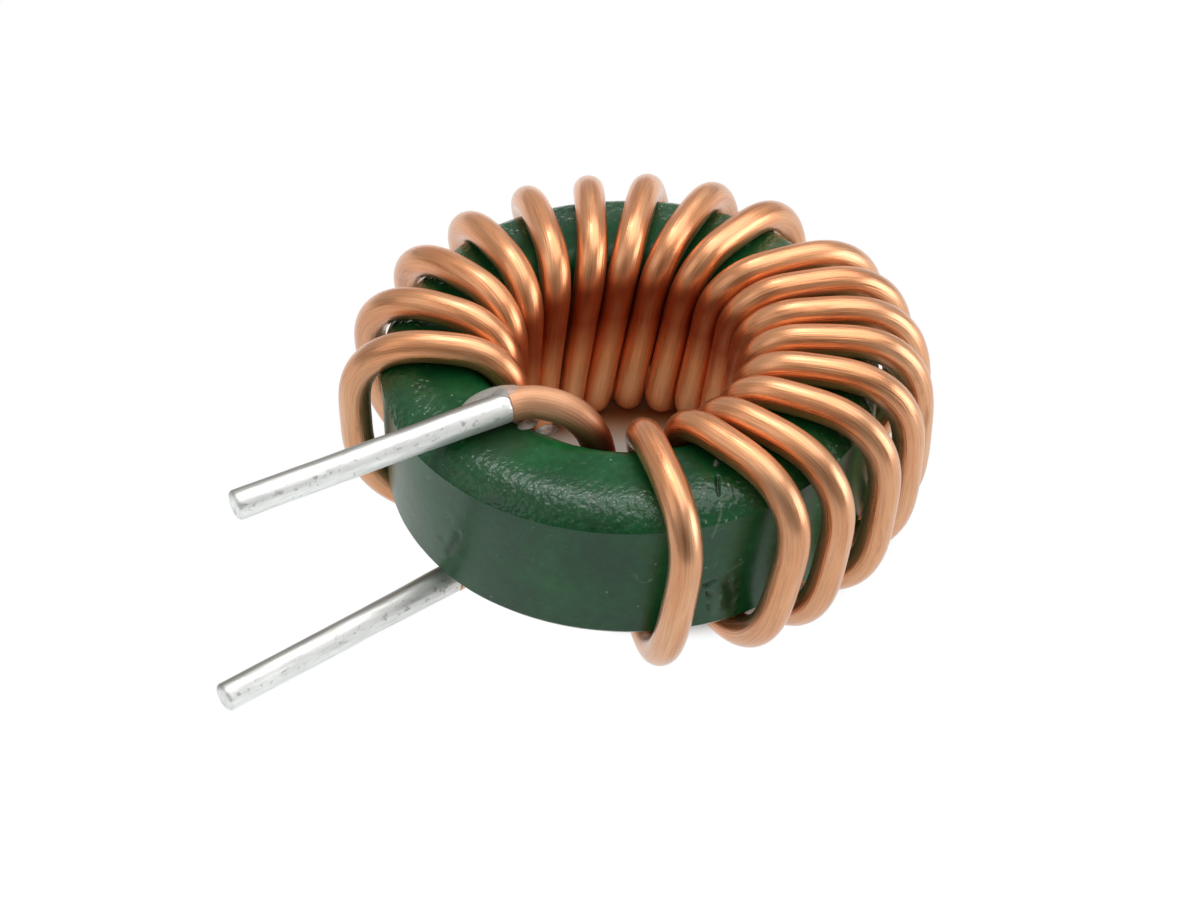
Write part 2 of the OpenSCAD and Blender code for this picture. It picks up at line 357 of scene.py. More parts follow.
wireSizes = {
    "radius": 0.69,
    "layGap": 0.03,  # between neighbours in the hole
    "passGap": 0.06,  # between the passes and the wall of the hole
    "topGap": 0.07,  # between the runs over the core and its face
    "rimSlack": 0.75,  # how far the runs down the rim stand off it
    # bends: at the top and foot of the rim, at the hole's lip and at its foot
    "topBend": 2.9,
    "lowBend": 3.1,
    "lipBend": 2.0,
    "footBend": 1.2,
    # one for each turn: degrees between the runs down the rim, how far each foot lags behind
    # its top, and mm by which a run stands further out or rises higher
    "rimStart": 252.3,
    "rimSteps": [23, 11, 15.5, 13.5, 12.5, 10.5, 11.5, 11, 23, 16, 16, 14, 15, 17, 17.5, 18, 16.5],
    "rimLeans": [4.6, 7, 6, 6, 5.5, 8, 9, 6.5, 2, 3, 2.5, 3.5, 3, 7.5, 7.5, 8, 5, 0],
    "rimShifts": [-0.05, 0.05, 0.1, 0.15, 0.2, 0.3, 0.35, 0.3, 0.25, 0.1, 0.05, 0, 0,
                  -0.05, -0.25, -0.3, -0.3, -0.25],
    "topRises": [0, 0, 0, 0, 0, 0, 0, 0, 0, 0, 0, 0, 0, 0.1, 0.15, 0.2, 0.2, 0.05],
    "passStart": 222,  # passes up the hole: the first, the free degrees after each, their lean
    "passFree": [5.2, 1.2, 0, 0, 0, 0, 0, 0, 0, 0, 0, 0, 0, 2.5, 2.9, 2.4, 1.5, 0.5],
    "passLean": 17,
    # the upper lead: from its corner in the hole to its tin, with a knee and an arch
    "upperShift": 1.72,
    "upperRun": 2.8,
    "kneeRun": 0.7,
    "kneeBend": 1.2,
    "archBend": 2.2,
    "lowerAngle": 188.5,  # the lower lead's heading
    "lowerTinBack": 1.1,  # how far inside the rim its tin begins
    # points along each bend, each straight run, each pass, and the two passes beside the leads
    "arcSteps": 10,
    "runPoints": 3,
    "passPoints": 6,
    "lastPoints": 2,
    "sides": 28,
    "pathStep": 0.2,
    "softenReach": (1.0, 1.8),  # in the hole, and at the rim
    "softenFrom": 7,  # the radii between which the one goes over into the other
    "softenTo": 9.5,
    "ringSpacing": 0.26,
    "handWaves": 0.02,  # how far the wire is dented by hand
    "seed": 3,
}
coreTop = coreSizes["bottom"] + coreSizes["height"]
topZ = coreTop + wireSizes["topGap"] + wireSizes["radius"]
lowZ = wireSizes["radius"]
passRadius = coreSizes["holeRadius"] - wireSizes["passGap"] - wireSizes["radius"]
turns = len(wireSizes["rimLeans"])


def running(first, steps):
    return np.concatenate([[first], first + np.cumsum(steps)])


def arc(centre, r, start, end, steps):
    return [np.array(centre) + polar(r, start + (end - start) * i / steps) for i in range(steps + 1)]


def between(a, b, count):
    a, b = np.array(a), np.array(b)
    return [a + (b - a) * i / (count + 1) for i in range(1, count + 1)]


def unit(v):
    return v / np.linalg.norm(v)


passTilt = math.atan(math.radians(wireSizes["passLean"]) * passRadius / (topZ - lowZ))
passStep = 2 * math.degrees(math.asin(
    (2 * wireSizes["radius"] + wireSizes["layGap"]) / math.cos(passTilt) / (2 * passRadius)))
passTops = running(wireSizes["passStart"], [passStep + free for free in wireSizes["passFree"]])
rimTops = running(wireSizes["rimStart"], wireSizes["rimSteps"])


def passAngle(i, z):
    lean = wireSizes["passLean"] if i < turns else wireSizes["lowerAngle"] + 360 - passTops[turns]
    return passTops[i] + lean * (topZ - z) / (topZ - lowZ)


def rimAngle(i, z):
    share = (z - lowZ) / (topZ - lowZ)
    return rimTops[i] - wireSizes["rimLeans"][i] * (1 - eased(share))


def onPass(i, z):
    return np.append(polar(passRadius, passAngle(i, z)), z)


def laid(section, passIndex, run, rimRadius):
    # seen from above, each half turn runs straight between its pass and its run down the rim
    points = []
    for r, z in section:
        share = (r - passRadius) / (rimRadius - passRadius)
        inner = polar(passRadius, passAngle(passIndex, z))
        outer = polar(rimRadius, rimAngle(run, z))
        points.append(np.append(inner + (outer - inner) * share, z))
    return points


def outward(rimRadius, steps):
    # from the foot of a pass, under the core, to the rim
    inner, outer = wireSizes["footBend"], wireSizes["lowBend"]
    foot = [passRadius + inner, lowZ + inner]
    toe = [rimRadius - outer, lowZ + outer]
    return (arc(foot, inner, 180, 270, steps)
            + between([foot[0], lowZ], [toe[0], lowZ], wireSizes["runPoints"])
            + arc(toe, outer, 270, 360, steps))


def inward(rimRadius, crest, steps):
    # from the rim, over the core, to the top of the next pass
    inner, outer = wireSizes["lipBend"], wireSizes["topBend"]
    brow = [rimRadius - outer, crest - outer]
    lip = [passRadius + inner, crest - inner]
    return (arc(brow, outer, 0, 90, steps)
            + between([brow[0], crest], [lip[0], crest], wireSizes["runPoints"])
            + arc(lip, inner, 90, 180, steps))


def turnPoints(i):
    rimRadius = (coreSizes["outerRadius"] + wireSizes["radius"] + wireSizes["rimSlack"]
                 + wireSizes["rimShifts"][i])
    steps = wireSizes["arcSteps"]
    under = outward(rimRadius, steps)
    over = inward(rimRadius, topZ + wireSizes["topRises"][i], steps)
    return laid(under, i, i, rimRadius) + laid(over, i + 1, i, rimRadius)


def passMiddle(i, count):
    heights = between([topZ - wireSizes["lipBend"]], [lowZ + wireSizes["footBend"]], count)
    return [onPass(i, z[0]) for z in heights]


def rounded(a, b, c, r, steps):
    back, on = unit(a - b), unit(c - b)
    half = math.acos(float(back @ on)) / 2
    start = b + back * r / math.tan(half)
    centre = b + unit(back + on) * r / math.sin(half)
    swept = math.pi - 2 * half
    return [centre + math.cos(swept * i / steps) * (start - centre)
            - math.sin(swept * i / steps) * r * back for i in range(steps + 1)]


upperCorner = onPass(0, topZ)
upperTin = upperCorner + np.array([-wireSizes["upperRun"], wireSizes["upperShift"], 0])
upperKnee = upperTin + np.array([wireSizes["kneeRun"], 0, 0])
lowerTin = np.append(
    polar(coreSizes["outerRadius"] - wireSizes["lowerTinBack"], wireSizes["lowerAngle"]), lowZ)


def softened(points, step, nearReach, farReach):
    # even steps, each averaged with its neighbours, so that bends start and end gently:
    # only a little where the wire lies tight in the hole, more where it swings round the rim
    points = np.array(points)
    far = np.concatenate([[0], np.cumsum(np.linalg.norm(np.diff(points, axis=0), axis=1))])
    even = np.linspace(0, far[-1], int(far[-1] / step))
    points = np.stack([np.interp(even, far, points[:, k]) for k in range(3)], axis=1)
    averaged = []
    for reach in (nearReach, farReach):
        pad = int(reach / step)
        ahead = np.arange(1, pad + 1)[:, None]
        before = points[0] + ahead[::-1] * (points[0] - points[1])
        after = points[-1] + ahead * (points[-1] - points[-2])
        padded = np.concatenate([before, points, after])
        weights = np.hanning(2 * pad + 3)[1:-1]
        weights /= weights.sum()
        columns = [np.convolve(padded[:, k], weights, "valid") for k in range(3)]
        averaged.append(np.stack(columns, axis=1))
    start, end = wireSizes["softenFrom"], wireSizes["softenTo"]
    share = np.clip((np.hypot(points[:, 0], points[:, 1]) - start) / (end - start), 0, 1)
    share = eased(share)[:, None]
    return averaged[0] * (1 - share) + averaged[1] * share


def wirePath():
    steps, count = wireSizes["arcSteps"], wireSizes["passPoints"]
    first, last = (passMiddle(i, wireSizes["lastPoints"]) for i in (0, turns))
    points = [upperTin]
    points += rounded(upperTin, upperKnee, upperCorner, wireSizes["kneeBend"], steps)
    points += rounded(upperKnee, upperCorner, first[1], wireSizes["archBend"], steps)
    points += [first[1]]
    for i in range(turns):
        points += turnPoints(i) + (passMiddle(i + 1, count) if i < turns - 1 else last)
    points += rounded(last[1], onPass(turns, lowZ), lowerTin, wireSizes["footBend"], steps)
    return softened(points + [lowerTin], wireSizes["pathStep"], *wireSizes["softenReach"])


def alongWire(tree, stretch):
    # a place round the wire in mm, and along it in mm over the stretch
    along = addNode(tree, "ShaderNodeAttribute", attribute_name="along").outputs["Fac"]
    around = addNode(tree, "ShaderNodeAttribute", attribute_name="around").outputs["Vector"]
    split = addNode(tree, "ShaderNodeSeparateXYZ", {0: around}).outputs
    slow = addNode(tree, "ShaderNodeMath", {0: along, 1: stretch}, operation="DIVIDE")
    return addNode(tree, "ShaderNodeCombineXYZ", {"X": split["X"], "Y": split["Y"], "Z": slow})


def enamelledCopper():
    # Drawn copper under clear enamel: the satin metal glows salmon, the smooth enamel lays pale
    # highlights over it, and fine lines from the die run along it.
    material, tree = newMaterial("enamelled copper wire")
    # die lines are some hundredths of a millimetre apart, and are drawn coarser, at 0.08 mm,
    # to show; bands of tone are about 0.4 mm wide, and stains from handling 0.8 mm
    lines = addNode(tree, "ShaderNodeTexNoise",
                    {"Vector": alongWire(tree, 30), "Scale": 13, "Detail": 2, "Roughness": 0.6})
    bands = addNode(tree, "ShaderNodeTexNoise",
                    {"Vector": alongWire(tree, 9), "Scale": 2.4, "Detail": 3, "Roughness": 0.55})
    stains = addNode(tree, "ShaderNodeTexNoise",
                     {"Vector": alongWire(tree, 4), "Scale": 1.2, "Detail": 4, "Roughness": 0.62})
    base = addNode(tree, "ShaderNodeValToRGB", {"Fac": bands},
                   [(0.3, "#df905c"), (0.5, "#eaa06c"), (0.7, "#f1ae7c")])
    lineShade = addNode(tree, "ShaderNodeValToRGB", {"Fac": lines}, [(0.34, 0.6), (0.52, 1.0)])
    lined = addNode(tree, "ShaderNodeMix", {"Factor": 0.5, "A": base, "B": lineShade}, data_type="RGBA",
                    blend_type="MULTIPLY")
    stained = addNode(tree, "ShaderNodeValToRGB", {"Fac": stains}, [(0.62, 0.0), (0.74, 0.5)])
    outside = addNode(tree, "ShaderNodeMix", {"Factor": stained, "A": lined, "B": "#965430"},
                      data_type="RGBA")
    inMm = placeInMm(tree)
    z = addNode(tree, "ShaderNodeSeparateXYZ", {0: inMm}).outputs["Z"]
    off = fromAxis(tree, inMm)
    # paler and pinker towards the runs down the rim
    atRim = addNode(tree, "ShaderNodeMapRange",
                    {"Value": off, "From Min": 9.8, "From Max": 11.2, "To Max": 0.8})
    rimTone = addNode(tree, "ShaderNodeMix",
                     {"Factor": atRim, "A": (1, 1, 1, 1), "B": (0.83, 0.97, 1.14, 1)}, data_type="RGBA")
    outside = addNode(tree, "ShaderNodeMix", {"Factor": 1.0, "A": outside, "B": rimTone},
                      data_type="RGBA", blend_type="MULTIPLY")
    # painted shade and reflection: deeper and redder up in the hole, where the passes mirror one
    # another, and paler low down, where they mirror the floor
    inHole = addNode(tree, "ShaderNodeMapRange", {"Value": off, "From Min": 5.6, "From Max": 4.9})
    height = addNode(tree, "ShaderNodeMapRange", {"Value": z, "From Max": 10})
    holeLightAndShade = addNode(tree, "ShaderNodeValToRGB", {"Fac": height},
                       [(0.1, "#ffb27c"), (0.3, "#ffb47e"), (0.45, "#fda56a"), (0.64, "#be5d2e"),
                        (0.8, "#c4683a")])
    fading = addNode(tree, "ShaderNodeMapRange", {"Value": z, "From Min": 8.9, "From Max": 8.0})
    holeShare = addNode(tree, "ShaderNodeMath", {0: fading, 1: inHole}, operation="MULTIPLY")
    lineInHole = addNode(tree, "ShaderNodeMix", {"Factor": 0.4, "A": holeLightAndShade, "B": lineShade},
                         data_type="RGBA", blend_type="MULTIPLY")
    # scraped and heated where the tin begins: paler, rougher, with stronger lines
    along = addNode(tree, "ShaderNodeAttribute", attribute_name="along").outputs["Fac"]
    scrapedShare = addNode(tree, "ShaderNodeMapRange",
                           {"Value": along, "From Min": 4.6, "From Max": 2.4})
    scrapes = addNode(tree, "ShaderNodeValToRGB", {"Fac": lines}, [(0.34, 0.5), (0.6, 1.0)])
    scraped = addNode(tree, "ShaderNodeMix", {"Factor": 0.3, "A": "#dea780", "B": scrapes},
                      data_type="RGBA", blend_type="MULTIPLY")
    outer = addNode(tree, "ShaderNodeMix", {"Factor": scrapedShare, "A": outside, "B": scraped},
                    data_type="RGBA")
    colour = addNode(tree, "ShaderNodeMix", {"Factor": holeShare, "A": outer, "B": lineInHole},
                     data_type="RGBA")
    # painted shade beyond that: browner down the first pass, where it goes into the hole
    shadeComing = addNode(tree, "ShaderNodeMapRange",
                      {"Value": along, "From Min": 2.2, "From Max": 4.0, "To Max": 0.85})
    shadeGoing = addNode(tree, "ShaderNodeMapRange", {"Value": along, "From Min": 13, "From Max": 10})
    archShade = addNode(tree, "ShaderNodeMath", {0: shadeComing, 1: shadeGoing}, operation="MULTIPLY")
    colour = addNode(tree, "ShaderNodeMix", {"Factor": archShade, "A": colour, "B": "#7a3c24"},
                     data_type="RGBA")
    # satin outside, duller in the hole, matt with hardly any enamel left where it was scraped
    satin = addNode(tree, "ShaderNodeMapRange",
                    {"Value": bands, "From Min": 0.3, "From Max": 0.7, "To Min": 0.26, "To Max": 0.35})
    worn = addNode(tree, "ShaderNodeMath", {0: holeShare, 1: scrapedShare}, operation="MAXIMUM")
    dulled = addNode(tree, "ShaderNodeMix", {"Factor": worn, "A": satin, "B": 0.42})
    roughness = addNode(tree, "ShaderNodeMix", {"Factor": scrapedShare, "A": dulled, "B": 0.58})
    enamel = addNode(tree, "ShaderNodeMapRange", {"Value": worn, "To Min": 0.65, "To Max": 0.1})
    bump = addNode(tree, "ShaderNodeBump", {"Height": lines, "Strength": 0.5, "Distance": 0.00004})
    shader = addNode(tree, "ShaderNodeBsdfPrincipled",
                     {"Base Color": colour, "Metallic": 0.84, "Roughness": roughness, "Normal": bump,
                      "Coat Weight": enamel, "Coat Roughness": 0.16, "Coat IOR": 1.55})
    addNode(tree, "ShaderNodeOutputMaterial", {"Surface": shader})
    return material


def wireTree(material, inputs):
    tree = bpy.data.node_groups.new("wire along a path", "GeometryNodeTree")
    face = tree.interface
    face.new_socket("Geometry", in_out="INPUT", socket_type="NodeSocketGeometry")
    for name, value in inputs.items():
        kind = "NodeSocketInt" if isinstance(value, int) else "NodeSocketFloat"
        face.new_socket(name, in_out="INPUT", socket_type=kind)
    face.new_socket("Geometry", in_out="OUTPUT", socket_type="NodeSocketGeometry")
    given = addNode(tree, "NodeGroupInput").outputs
    line = addNode(tree, "GeometryNodeMeshToCurve", {"Mesh": given["Geometry"]})
    spline = addNode(tree, "GeometryNodeCurveSplineType", {"Curve": line}, spline_type="CATMULL_ROM")
    fine = addNode(tree, "GeometryNodeSetSplineResolution", {"Geometry": spline, "Resolution": 6})
    rings = addNode(tree, "GeometryNodeResampleCurve", {"Curve": fine, "Length": given["Ring spacing"]},
                    mode="LENGTH")
    length = addNode(tree, "GeometryNodeSplineParameter")
    along = addNode(tree, "ShaderNodeMath", {0: length.outputs["Length"], 1: 1000},
                    operation="MULTIPLY")
    marked = addNode(tree, "GeometryNodeStoreNamedAttribute",
                     {"Geometry": rings, "Name": "along", "Value": along}, data_type="FLOAT",
                     domain="POINT")
    circle = addNode(tree, "GeometryNodeCurvePrimitiveCircle",
                     {"Resolution": given["Sides"], "Radius": given["Wire radius"]})
    place = addNode(tree, "GeometryNodeInputPosition")
    inMm = addNode(tree, "ShaderNodeVectorMath", {0: place, 1: (1000, 1000, 1000)},
                   operation="MULTIPLY")
    profile = addNode(tree, "GeometryNodeStoreNamedAttribute",
                      {"Geometry": circle, "Name": "around", "Value": inMm}, data_type="FLOAT_VECTOR",
                      domain="POINT")
    tube = addNode(tree, "GeometryNodeCurveToMesh",
                   {"Curve": marked, "Profile Curve": profile, "Fill Caps": True})
    # waves about 1 mm long, mostly inward, so that neighbours don't meet
    normal = addNode(tree, "GeometryNodeInputNormal")
    wave = addNode(tree, "ShaderNodeTexNoise",
                   {"Vector": inMm, "W": given["Seed"], "Scale": 0.9, "Detail": 1},
                   noise_dimensions="4D")
    mostlyIn = addNode(tree, "ShaderNodeMath", {0: wave, 1: 0.62}, operation="SUBTRACT")
    depth = addNode(tree, "ShaderNodeMath", {0: mostlyIn, 1: given["Hand waves"]}, operation="MULTIPLY")
    offset = addNode(tree, "ShaderNodeVectorMath", {0: normal, "Scale": depth}, operation="SCALE")
    dented = addNode(tree, "GeometryNodeSetPosition", {"Geometry": tube, "Offset": offset})
    smooth = addNode(tree, "GeometryNodeSetShadeSmooth", {"Geometry": dented})
    real = addNode(tree, "GeometryNodeRealizeInstances", {"Geometry": smooth})
    done = addNode(tree, "GeometryNodeSetMaterial", {"Geometry": real, "Material": material})
    addNode(tree, "NodeGroupOutput", {"Geometry": done})
    return tree


def buildWinding(sizes, material):
    points = wirePath()
    mesh = bpy.data.meshes.new("windingPath")
    mesh.from_pydata([tuple(p * mm) for p in points], [(i, i + 1) for i in range(len(points) - 1)], [])
    winding = linked(bpy.data.objects.new("wireWinding", mesh))
    inputs = {"Wire radius": sizes["radius"] * mm, "Ring spacing": sizes["ringSpacing"] * mm,
              "Sides": sizes["sides"], "Hand waves": sizes["handWaves"] * mm, "Seed": sizes["seed"]}
    modifier = winding.modifiers.new("winding", "NODES")
    modifier.node_group = wireTree(material, inputs)
    for item in modifier.node_group.interface.items_tree:
        if item.in_out == "INPUT" and item.name in inputs:
            modifier[item.identifier] = inputs[item.name]
    return plainMesh(winding)


winding = buildWinding(wireSizes, enamelledCopper())
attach(winding, "root")
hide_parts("winding")
print("winding made:", len(winding.data.polygons), "faces")

leadSizes = {
    "startRadius": 0.67,
    "endRadius": 0.62,
    "taper": 4,
    "upperReach": 8.1,  # beyond the rim
    "lowerReach": 10.3,
    "lip": 0.05,  # how far the tin's first edge is rounded in
    "lipLength": 0.14,
    "lipRings": (0, 0.2, 0.55, 1),  # shares of that length
    "tipRound": 0.16,
    "tipSteps": 6,
    "tipRings": (0.8, 0.6, 0.4, 0.2),  # shares of the blunt end's radius
    "nipDepth": 0.06,  # the cutter's nip across the tip
    "nipWidth": 0.14,
    "ripple": 0.022,  # the solder's waves: their depth, how many lie round and along, their rest
    "rippleRound": 1.4,
    "rippleAlong": 0.55,
    "rippleRest": 0.55,
    "rippleGap": 7,  # between the two leads' places in the waves, and in the material's pattern
    "patternGap": 40,
    "sides": 40,
    "ringSpacing": 0.12,
}


def dippedSolder():
    # Wire dipped in solder: silvery white and half matt, with bright streaks along it where the
    # solder ran, grey patches of oxide and dark pits of flux.
    material, tree = newMaterial("dipped solder")
    # streaks and pits are about 0.25 mm wide, the patches 0.6 mm
    streaks = addNode(tree, "ShaderNodeTexNoise",
                      {"Vector": alongWire(tree, 6), "Scale": 4.2, "Detail": 4, "Roughness": 0.6})
    patches = addNode(tree, "ShaderNodeTexNoise",
                      {"Vector": alongWire(tree, 1.8), "Scale": 1.7, "Detail": 5, "Roughness": 0.62})
    pits = addNode(tree, "ShaderNodeTexNoise",
                   {"Vector": alongWire(tree, 1.3), "Scale": 4.2, "Detail": 2, "Roughness": 0.6})
    # the pits gather along the side that drained last
    around = addNode(tree, "ShaderNodeAttribute", attribute_name="around").outputs["Vector"]
    drained = addNode(tree, "ShaderNodeVectorMath", {0: around, 1: (-0.87, 0.5, 0)},
                      operation="DOT_PRODUCT")
    gathering = addNode(tree, "ShaderNodeMapRange",
                        {"Value": drained, "From Min": 0.5, "From Max": 0.62, "To Min": -0.06,
                         "To Max": 0.05})
    pitted = addNode(tree, "ShaderNodeMath", {0: pits, 1: gathering}, operation="ADD")
    pitShare = addNode(tree, "ShaderNodeValToRGB", {"Fac": pitted}, [(0.62, 0.0), (0.76, 0.6)])
    dull = addNode(tree, "ShaderNodeValToRGB", {"Fac": patches}, [(0.58, 0.0), (0.72, 0.3)])
    # a grey band high on the side next to the last turn, along the whole lead: painted dark reflection
    # and grey flux
    upperSide = addNode(tree, "ShaderNodeVectorMath", {0: around, 1: (0.73, 0.69, 0)},
                    operation="DOT_PRODUCT")
    greyBandShare = addNode(tree, "ShaderNodeMapRange",
                         {"Value": upperSide, "From Min": 0.3, "From Max": 0.56, "To Max": 0.8})
    colour = addNode(tree, "ShaderNodeValToRGB", {"Fac": streaks},
                     [(0.32, "#e2e3e0"), (0.48, "#f1f1ee"), (0.62, "#fbfbf9")])
    for share, over in [(dull, "#bdbeb9"), (greyBandShare, "#6f6a61"), (pitShare, "#85857e")]:
        colour = addNode(tree, "ShaderNodeMix", {"Factor": share, "A": colour, "B": over},
                         data_type="RGBA")
    satin = addNode(tree, "ShaderNodeMapRange",
                    {"Value": streaks, "From Min": 0.35, "From Max": 0.65, "To Min": 0.46,
                     "To Max": 0.36})
    bump = addNode(tree, "ShaderNodeBump", {"Height": streaks, "Strength": 0.3, "Distance": 0.00008})
    shader = addNode(tree, "ShaderNodeBsdfPrincipled",
                     {"Base Color": colour, "Metallic": 0.68, "Roughness": satin, "Normal": bump})
    addNode(tree, "ShaderNodeOutputMaterial", {"Surface": shader})
    return material


def leadRadius(sizes, s, length):
    r = sizes["startRadius"] + (sizes["endRadius"] - sizes["startRadius"]) * min(s / sizes["taper"], 1)
    if s < sizes["lipLength"]:
        r -= sizes["lip"] * (1 - math.sqrt(s / sizes["lipLength"]))
    over = (s - length) / sizes["tipRound"] + 1
    if over > 0:
        r -= sizes["tipRound"] * (1 - math.sqrt(max(1 - over * over, 0)))
    return r


def buildLead(name, start, degrees, length, sizes, material, seed):
    heading = np.append(polar(1, degrees), 0)
    up = np.array([0, 0, 1.0])
    side = np.cross(heading, up)
    # places along the lead, then the shrinking rings of its blunt end
    stops = list(sizes["lipLength"] * np.array(sizes["lipRings"]))
    stops += list(np.arange(sizes["lipLength"], length - sizes["tipRound"], sizes["ringSpacing"])[1:])
    stops += [length - sizes["tipRound"] * (1 - math.sin(math.pi / 2 * i / sizes["tipSteps"]))
              for i in range(sizes["tipSteps"] + 1)]
    rings = [(s, leadRadius(sizes, s, length), 0) for s in stops]
    blunt = sizes["endRadius"] - sizes["tipRound"]
    rings += [(length, blunt * share, 1) for share in sizes["tipRings"]]
    vertices, along, around = [], [], []
    for s, r, inTip in rings:
        for k in range(sizes["sides"]):
            a = 2 * math.pi * k / sizes["sides"]
            x, y = math.cos(a), math.sin(a)
            spot = Vector((x * sizes["rippleRound"], y * sizes["rippleRound"],
                           s * sizes["rippleAlong"] + seed * sizes["rippleGap"]))
            waves = noise.noise(spot) - sizes["rippleRest"]
            nip = inTip * sizes["nipDepth"] * math.exp(-(r * x / sizes["nipWidth"]) ** 2)
            wide = r if inTip else r + sizes["ripple"] * waves
            vertices.append((start + heading * (s - nip) + (side * x + up * y) * wide) * mm)
            along.append(s + seed * sizes["patternGap"])
            around.append((x * r, y * r, 0))
    sides, last = sizes["sides"], len(rings) - 1
    faces = [(i * sides + k, i * sides + (k + 1) % sides, (i + 1) * sides + (k + 1) % sides,
              (i + 1) * sides + k) for i in range(last) for k in range(sides)]
    faces.append(tuple(last * sides + k for k in range(sides)))
    faces.append(tuple(reversed(range(sides))))
    lead = meshObject(name, vertices, faces, material)
    faceOutward(lead)
    lead.data.attributes.new("along", "FLOAT", "POINT").data.foreach_set("value", along)
    lead.data.attributes.new("around", "FLOAT_VECTOR", "POINT").data.foreach_set(
        "vector", np.array(around).ravel())
    return lead


solder = dippedSolder()
upperLength = upperTin[0] + coreSizes["outerRadius"] + leadSizes["upperReach"]
lowerLength = wireSizes["lowerTinBack"] + leadSizes["lowerReach"]
for name, node, start, degrees, length, seed in [
        ("upperTinnedEnd", "upper_tinned_end", upperTin, 180, upperLength, 1),
        ("lowerTinnedEnd", "lower_tinned_end", lowerTin, wireSizes["lowerAngle"], lowerLength, 2)]:
    lead = buildLead(name, start, degrees, length, leadSizes, solder, seed)
    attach(lead, "root")
    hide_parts(node)
print("tinned ends made")

resinSizes = {
    # centre from the start of the upper lead's tin, and half axes
    "drops": [((-0.35, 0.7, -0.3), (1.5, 0.72, 0.62)), ((-1.2, 0.7, -0.5), (1.0, 0.55, 0.3)),
              ((0.7, 0.35, -0.25), (0.9, 0.55, 0.5)), ((0.1, 0.15, 0.15), (0.85, 0.6, 0.6)),
              ((1.12, -1.0, -1.08), (0.6, 0.3, 0.18)), ((0.55, -0.62, -0.78), (0.5, 0.3, 0.1))],
    "ballSteps": 4,
    "voxel": 0.07,
    "softening": 12,  # rounds of smoothing
}


def clearResin():
    # A dab of clear resin that has yellowed a little and holds dust and fine bubbles.
    material, tree = newMaterial("clear resin")
    inMm = placeInMm(tree)
    # the dust lies in drifts of about 0.7 mm
    dust = addNode(tree, "ShaderNodeTexNoise",
                   {"Vector": inMm, "Scale": 1.5, "Detail": 5, "Roughness": 0.65})
    colour = addNode(tree, "ShaderNodeValToRGB", {"Fac": dust},
                     [(0.34, "#cfc5b2"), (0.46, "#eeebe2"), (0.6, "#fbfaf6")])
    clear = addNode(tree, "ShaderNodeMapRange",
                    {"Value": dust, "From Min": 0.35, "From Max": 0.65, "To Min": 0.55, "To Max": 0.88})
    bump = addNode(tree, "ShaderNodeBump", {"Height": dust, "Strength": 0.4, "Distance": 0.0002})
    shader = addNode(tree, "ShaderNodeBsdfPrincipled",
                     {"Base Color": colour, "Roughness": 0.3, "IOR": 1.5, "Transmission Weight": clear,
                      "Normal": bump})
    addNode(tree, "ShaderNodeOutputMaterial", {"Surface": shader})
    return material


def buildResin(sizes, material):
    blob = bmesh.new()
    for centre, axes in sizes["drops"]:
        place = Matrix.Translation(Vector(upperTin + np.array(centre)) * mm)
        bmesh.ops.create_icosphere(blob, subdivisions=sizes["ballSteps"], radius=mm,
                                   matrix=place @ Matrix.Diagonal((*axes, 1)))
    mesh = bpy.data.meshes.new("resinDrops")
    blob.to_mesh(mesh)
    blob.free()
    mesh.materials.append(material)
    resin = linked(bpy.data.objects.new("resinBead", mesh))
    remesh = resin.modifiers.new("melt", "REMESH")
    remesh.mode = "VOXEL"
    remesh.voxel_size = sizes["voxel"] * mm
    remesh.use_smooth_shade = True
    soften = resin.modifiers.new("soften", "SMOOTH")
    soften.iterations = sizes["softening"]
    return plainMesh(resin)


resin = buildResin(resinSizes, clearResin())
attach(resin, "root")
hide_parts("resin_bead")
print("resin made")

cameraPlace = {
    # the heading in degrees, seen from above, below level and round itself
    "azimuth": 61.44,
    "down": 42.886,
    "roll": -0.315,
    "distance": 111.434,  # mm to the middle of the core, which lies right and up of the aim
    "right": 1.6293,
    "up": 2.1245,
    "focalPixels": 2601,
    "widthPixels": 1182,
    "sensorWidth": 36,
    "nearest": 0.005,  # metres
    "farthest": 10,
}


def setCamera(place):
    azimuth, down, roll = (math.radians(place[k]) for k in ("azimuth", "down", "roll"))
    ahead = Vector((math.cos(azimuth) * math.cos(down), math.sin(azimuth) * math.cos(down),
                    -math.sin(down)))
    level = Vector((math.sin(azimuth), -math.cos(azimuth), 0))
    upright = level.cross(ahead)
    right = math.cos(roll) * level + math.sin(roll) * upright
    up = -math.sin(roll) * level + math.cos(roll) * upright
    aim = Vector((0, 0, coreSizes["bottom"] + coreSizes["height"] / 2))
    stand = aim - place["right"] * right - place["up"] * up - place["distance"] * ahead
    data = bpy.data.cameras.new("mainCamera")
    data.sensor_width = place["sensorWidth"]
    data.lens = place["focalPixels"] / place["widthPixels"] * data.sensor_width
    data.clip_start, data.clip_end = place["nearest"], place["farthest"]
    camera = linked(bpy.data.objects.new("mainCamera", data))
    camera.matrix_world = Matrix.Translation(stand * mm) @ Matrix(
        (right, up, -ahead)).transposed().to_4x4()
    scene.camera = camera
    return ahead


lampAim = Vector((0, 0, 0.005))  # half way up the part, in metres


def addLamp(name, azimuth, elevation, distance, size, power):
    data = bpy.data.lights.new(name, "AREA")
    data.shape = "SQUARE"
    data.size = size
    data.energy = power
    lamp = linked(bpy.data.objects.new(name, data))
    a, e = math.radians(azimuth), math.radians(elevation)
    back = Vector((math.cos(a) * math.cos(e), math.sin(a) * math.cos(e), math.sin(e)))
    lamp.location = back * distance + lampAim
    lamp.rotation_mode = "QUATERNION"
    lamp.rotation_quaternion = (-back).to_track_quat("-Z", "Y")


